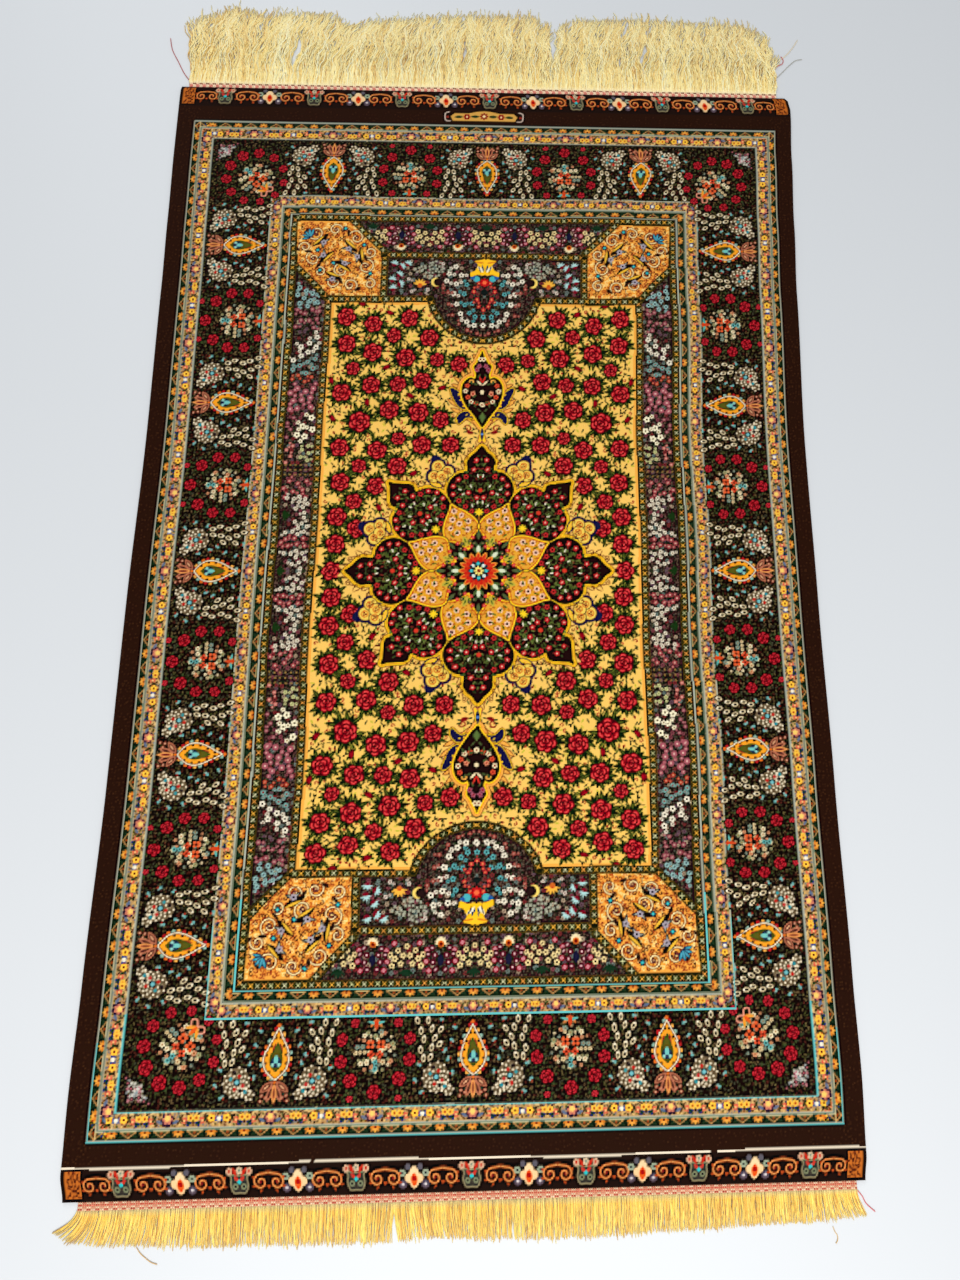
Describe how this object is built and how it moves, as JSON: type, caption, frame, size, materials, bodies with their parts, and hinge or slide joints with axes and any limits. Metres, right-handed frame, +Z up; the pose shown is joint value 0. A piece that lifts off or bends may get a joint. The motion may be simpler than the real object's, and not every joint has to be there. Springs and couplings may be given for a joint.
{
  "type": "persian rug",
  "caption": "Flat rectangular hand-knotted silk rug with a flat-woven strip and a fringe at each end, lying on a floor.",
  "frame": {"origin": "middle of the whole rug with its fringes, on the floor under it", "axes": "+X across the rug to its right side, +Y along the rug to its far end with the long fringe, +Z up out of the pile"},
  "size_m": [0.8185, 1.4673, 0.003],
  "materials": {
    "silk_pile": "short sheared silk pile knotted in a floral medallion design, soft sheen",
    "flat_weave": "flat-woven silk strip, cream with rows of red",
    "silk_warp": "loose golden silk warp ends, lustrous"
  },
  "bodies": {
    "root": {"knotted_cloth": "silk_pile", "fringe_far": "silk_warp", "fringe_near": "silk_warp"}
  },
  "joints": []
}
